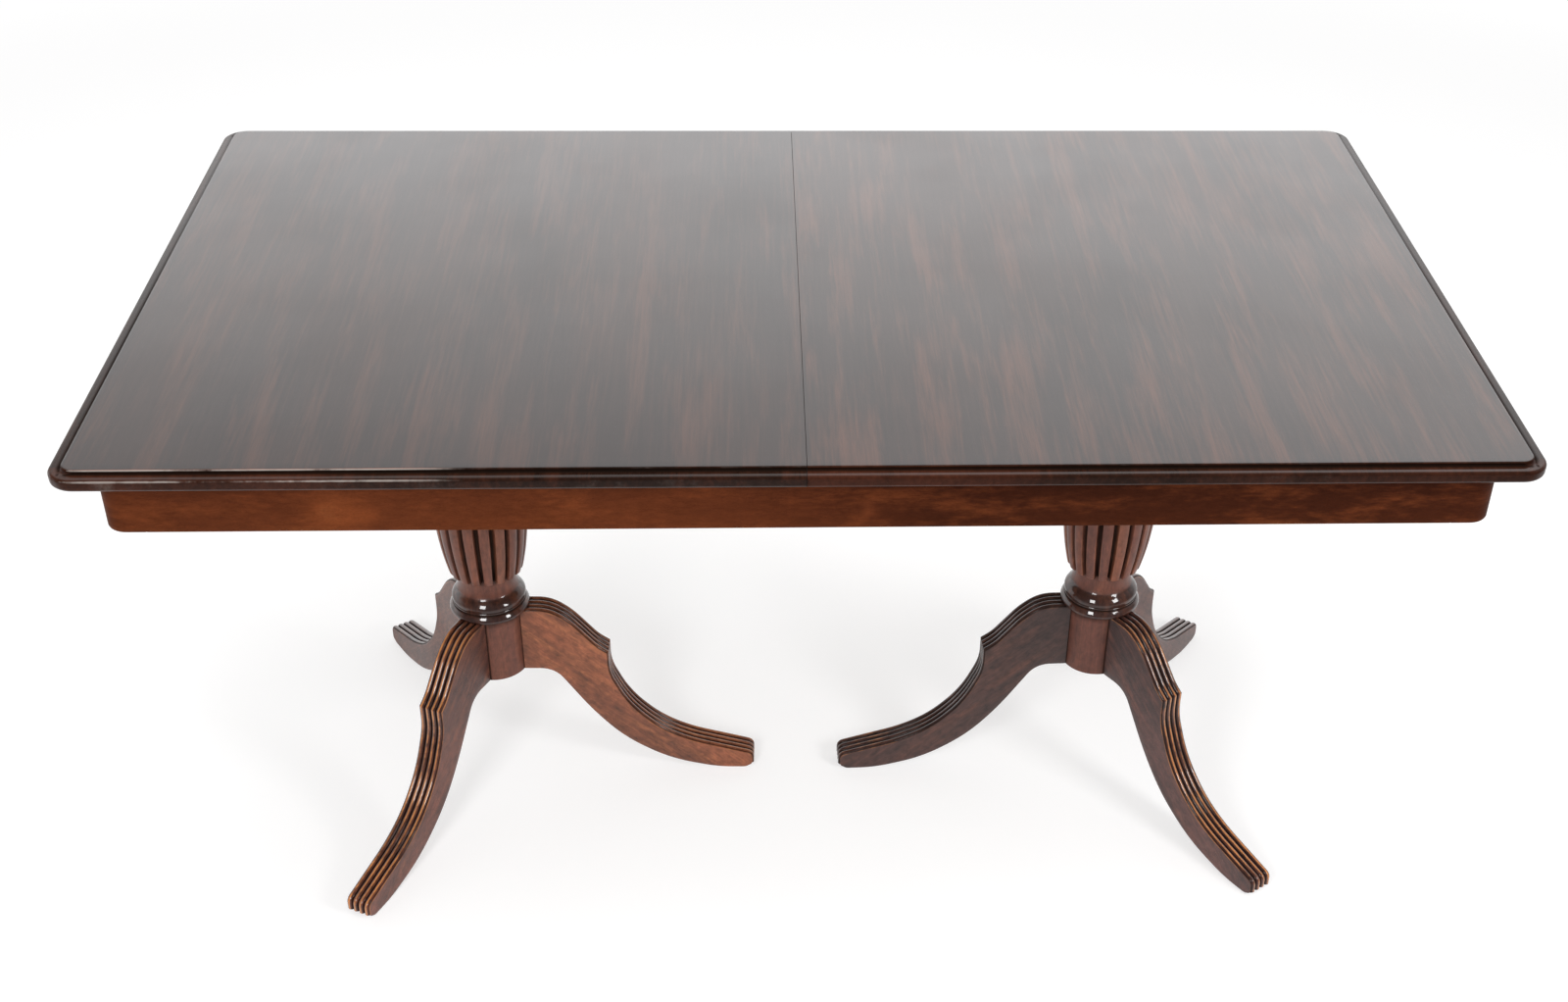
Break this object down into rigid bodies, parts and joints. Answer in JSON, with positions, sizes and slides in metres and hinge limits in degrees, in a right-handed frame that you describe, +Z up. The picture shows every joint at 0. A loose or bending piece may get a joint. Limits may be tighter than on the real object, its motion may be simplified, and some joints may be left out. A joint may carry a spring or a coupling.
{
  "type": "dining table",
  "caption": "Extending dining table: moulded two-part top that slides apart on a fixed apron frame, on two turned and reeded pedestals with splayed sabre legs.",
  "frame": {"origin": "on the floor, under the middle of the top", "axes": "+X along the table's length to the right as seen from the front, +Y from the front edge to the back edge, +Z up"},
  "size_m": [1.56, 0.915, 0.76],
  "materials": {
    "polished_top": "dark mahogany, polished to a gloss",
    "apron_wood": "red-brown mahogany, polished",
    "pedestal_wood": "red-brown mahogany, polished, worn on the reeds",
    "frame_wood": "plain unpolished hardwood",
    "brass": "dull cast brass",
    "steel": "plain dark steel"
  },
  "bodies": {
    "frame": {"apron_front": "apron_wood", "apron_back": "apron_wood", "apron_end_left": "apron_wood", "apron_end_right": "apron_wood", "corner_block_front_left": "apron_wood", "corner_block_back_left": "apron_wood", "corner_block_front_right": "apron_wood", "corner_block_back_right": "apron_wood", "pedestal_column_left": "pedestal_wood", "pedestal_column_right": "pedestal_wood", "leg_left_inner": "pedestal_wood", "leg_left_back": "pedestal_wood", "leg_left_front": "pedestal_wood", "leg_right_inner": "pedestal_wood", "leg_right_back": "pedestal_wood", "leg_right_front": "pedestal_wood", "pedestal_board_left": "frame_wood", "pedestal_board_right": "frame_wood", "cross_rail_left_end": "frame_wood", "cross_rail_left_middle": "frame_wood", "cross_rail_right_middle": "frame_wood", "cross_rail_right_end": "frame_wood", "tripod_plate_left": "steel", "tripod_plate_right": "steel", "tripod_screws_left": "steel", "tripod_screws_right": "steel", "board_screws_left": "steel", "board_screws_right": "steel"},
    "top_left": {"top_panel_left": "polished_top", "runner_left_front": "frame_wood", "runner_left_back": "frame_wood", "runner_screws_left": "steel", "stop_pins_left": "steel", "catch_pivots": "brass", "seam_dowels": "frame_wood"},
    "top_right": {"top_panel_right": "polished_top", "runner_right_front": "frame_wood", "runner_right_back": "frame_wood", "runner_screws_right": "steel", "stop_pins_right": "steel", "catch_keepers": "brass"},
    "catch_front": {"catch_front": "brass"},
    "catch_back": {"catch_back": "brass"}
  },
  "joints": [
    {"name": "left_top_slide", "type": "slide", "parent": "frame", "child": "top_left", "axis": [-1, 0, 0], "range_m": [0, 0.225]},
    {"name": "right_top_slide", "type": "slide", "parent": "frame", "child": "top_right", "axis": [1, 0, 0], "range_m": [0, 0.225]},
    {"name": "front_catch_swing", "type": "hinge", "parent": "top_left", "child": "catch_front", "pos_m": [-0.03, -0.35244, 0.74], "axis": [0, 0, 1], "range_deg": [-90, 0]},
    {"name": "back_catch_swing", "type": "hinge", "parent": "top_left", "child": "catch_back", "pos_m": [-0.03, 0.35244, 0.74], "axis": [0, 0, 1], "range_deg": [0, 90]}
  ]
}
